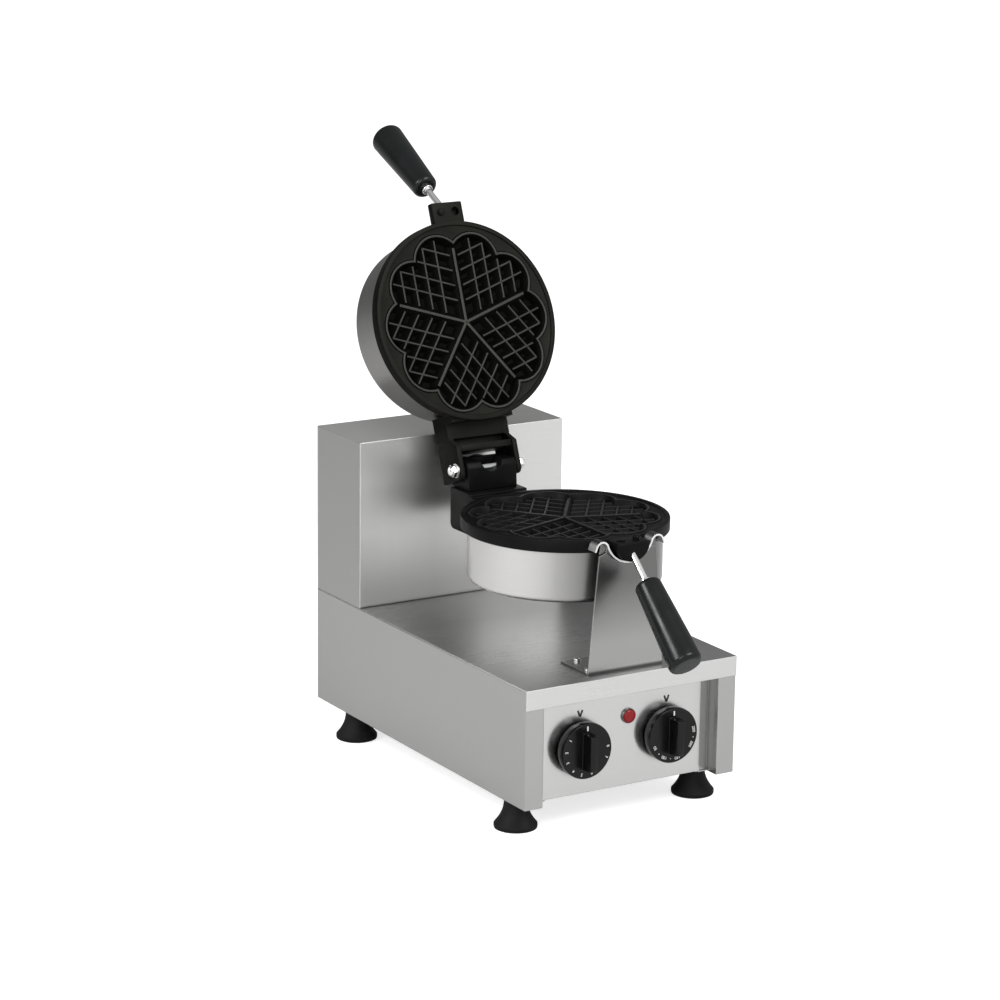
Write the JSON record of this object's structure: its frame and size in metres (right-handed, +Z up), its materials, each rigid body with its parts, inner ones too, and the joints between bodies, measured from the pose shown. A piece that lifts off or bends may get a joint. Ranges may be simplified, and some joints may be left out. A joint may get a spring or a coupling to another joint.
{
  "type": "rotary waffle maker",
  "caption": "Rotary waffle maker: hinged cast heart-pattern plates with sloping handles turn on a shaft in a brushed steel housing with timer, thermostat and lamp.",
  "frame": {"origin": "on the table plane, under the middle of the base", "axes": "+Z up, -Y towards the user (control panel), +X to the user's right"},
  "size_m": [0.2276, 0.5403, 0.5657],
  "materials": {
    "casing_steel": "brushed, satin",
    "cover_steel": "fine circumferential brushing",
    "cast_plate": "cast, black non-stick coating, satin",
    "fastener_steel": "bright zinc-plated steel",
    "chrome_steel": "polished",
    "machined_steel": "turned steel",
    "bush_bronze": "sintered bronze",
    "element_sheath": "oxidised heater sheath",
    "insulation_fibre": "mineral fibre mat",
    "grip_plastic": "black phenolic, semi-gloss",
    "knob_plastic": "black phenolic, glossy",
    "gland_plastic": "black polyamide",
    "timer_plastic": "phenolic case",
    "thermostat_case": "ceramic-filled plastic",
    "foot_rubber": "matte black",
    "lamp_red": "translucent red"
  },
  "bodies": {
    "base": {"base_left_side": "casing_steel", "base_right_side": "casing_steel", "base_rear_wall": "casing_steel", "base_top": "casing_steel", "front_panel": "casing_steel", "bottom_plate": "casing_steel", "bottom_screws": "fastener_steel", "foot_front_left": "foot_rubber", "foot_front_right": "foot_rubber", "foot_rear_left": "foot_rubber", "foot_rear_right": "foot_rubber", "foot_bolts": "fastener_steel", "tower_casing": "casing_steel", "tower_rear_cover": "casing_steel", "rear_cover_screws": "fastener_steel", "cable_gland": "gland_plastic", "gland_locknut": "gland_plastic", "terminal_block": "thermostat_case", "cradle_plate": "casing_steel", "cradle_saddle": "casing_steel", "cradle_screws": "fastener_steel", "cradle_nuts": "fastener_steel", "timer_body": "timer_plastic", "thermostat_body": "thermostat_case", "control_screws": "fastener_steel", "lamp_lens": "lamp_red", "lamp_bezel": "chrome_steel", "lamp_body": "gland_plastic", "bearing_housing": "machined_steel", "front_bush": "bush_bronze", "rear_bush": "bush_bronze", "bearing_studs": "fastener_steel", "bearing_nuts": "fastener_steel", "stop_pin": "fastener_steel"},
    "timer_dial": {"timer_knob": "knob_plastic", "timer_spindle": "machined_steel"},
    "thermostat_dial": {"thermostat_knob": "knob_plastic", "thermostat_spindle": "machined_steel"},
    "rotor": {"main_shaft": "machined_steel", "shaft_bolts": "fastener_steel", "shaft_collar": "machined_steel", "lower_plate": "cast_plate", "lower_element": "element_sheath", "lower_insulation": "insulation_fibre", "lower_pan_cover": "cover_steel", "lower_cover_bolt": "fastener_steel", "lower_handle_rod": "chrome_steel", "lower_handle_grip": "grip_plastic", "lower_handle_ferrule": "chrome_steel"},
    "lid": {"hinge_pin": "chrome_steel", "hinge_nuts": "chrome_steel", "hinge_washers": "fastener_steel", "upper_plate": "cast_plate", "upper_element": "element_sheath", "upper_insulation": "insulation_fibre", "upper_pan_cover": "cover_steel", "upper_cover_bolt": "fastener_steel", "upper_handle_rod": "chrome_steel", "upper_handle_grip": "grip_plastic", "upper_handle_ferrule": "chrome_steel"}
  },
  "joints": [
    {"name": "rotor_spin", "type": "hinge", "parent": "base", "child": "rotor", "pos_m": [0, 0.13, 0.256], "axis": [0, 1, 0], "range_deg": [-8, 8]},
    {"name": "lid_hinge", "type": "hinge", "parent": "rotor", "child": "lid", "pos_m": [0, 0.0625, 0.2704], "axis": [1, 0, 0], "range_deg": [0, 111.5]},
    {"name": "timer_turn", "type": "hinge", "parent": "base", "child": "timer_dial", "pos_m": [-0.0455, -0.18, 0.073], "axis": [0, 1, 0], "range_deg": [0, 300]},
    {"name": "thermostat_turn", "type": "hinge", "parent": "base", "child": "thermostat_dial", "pos_m": [0.0455, -0.18, 0.073], "axis": [0, 1, 0], "range_deg": [0, 270]}
  ]
}
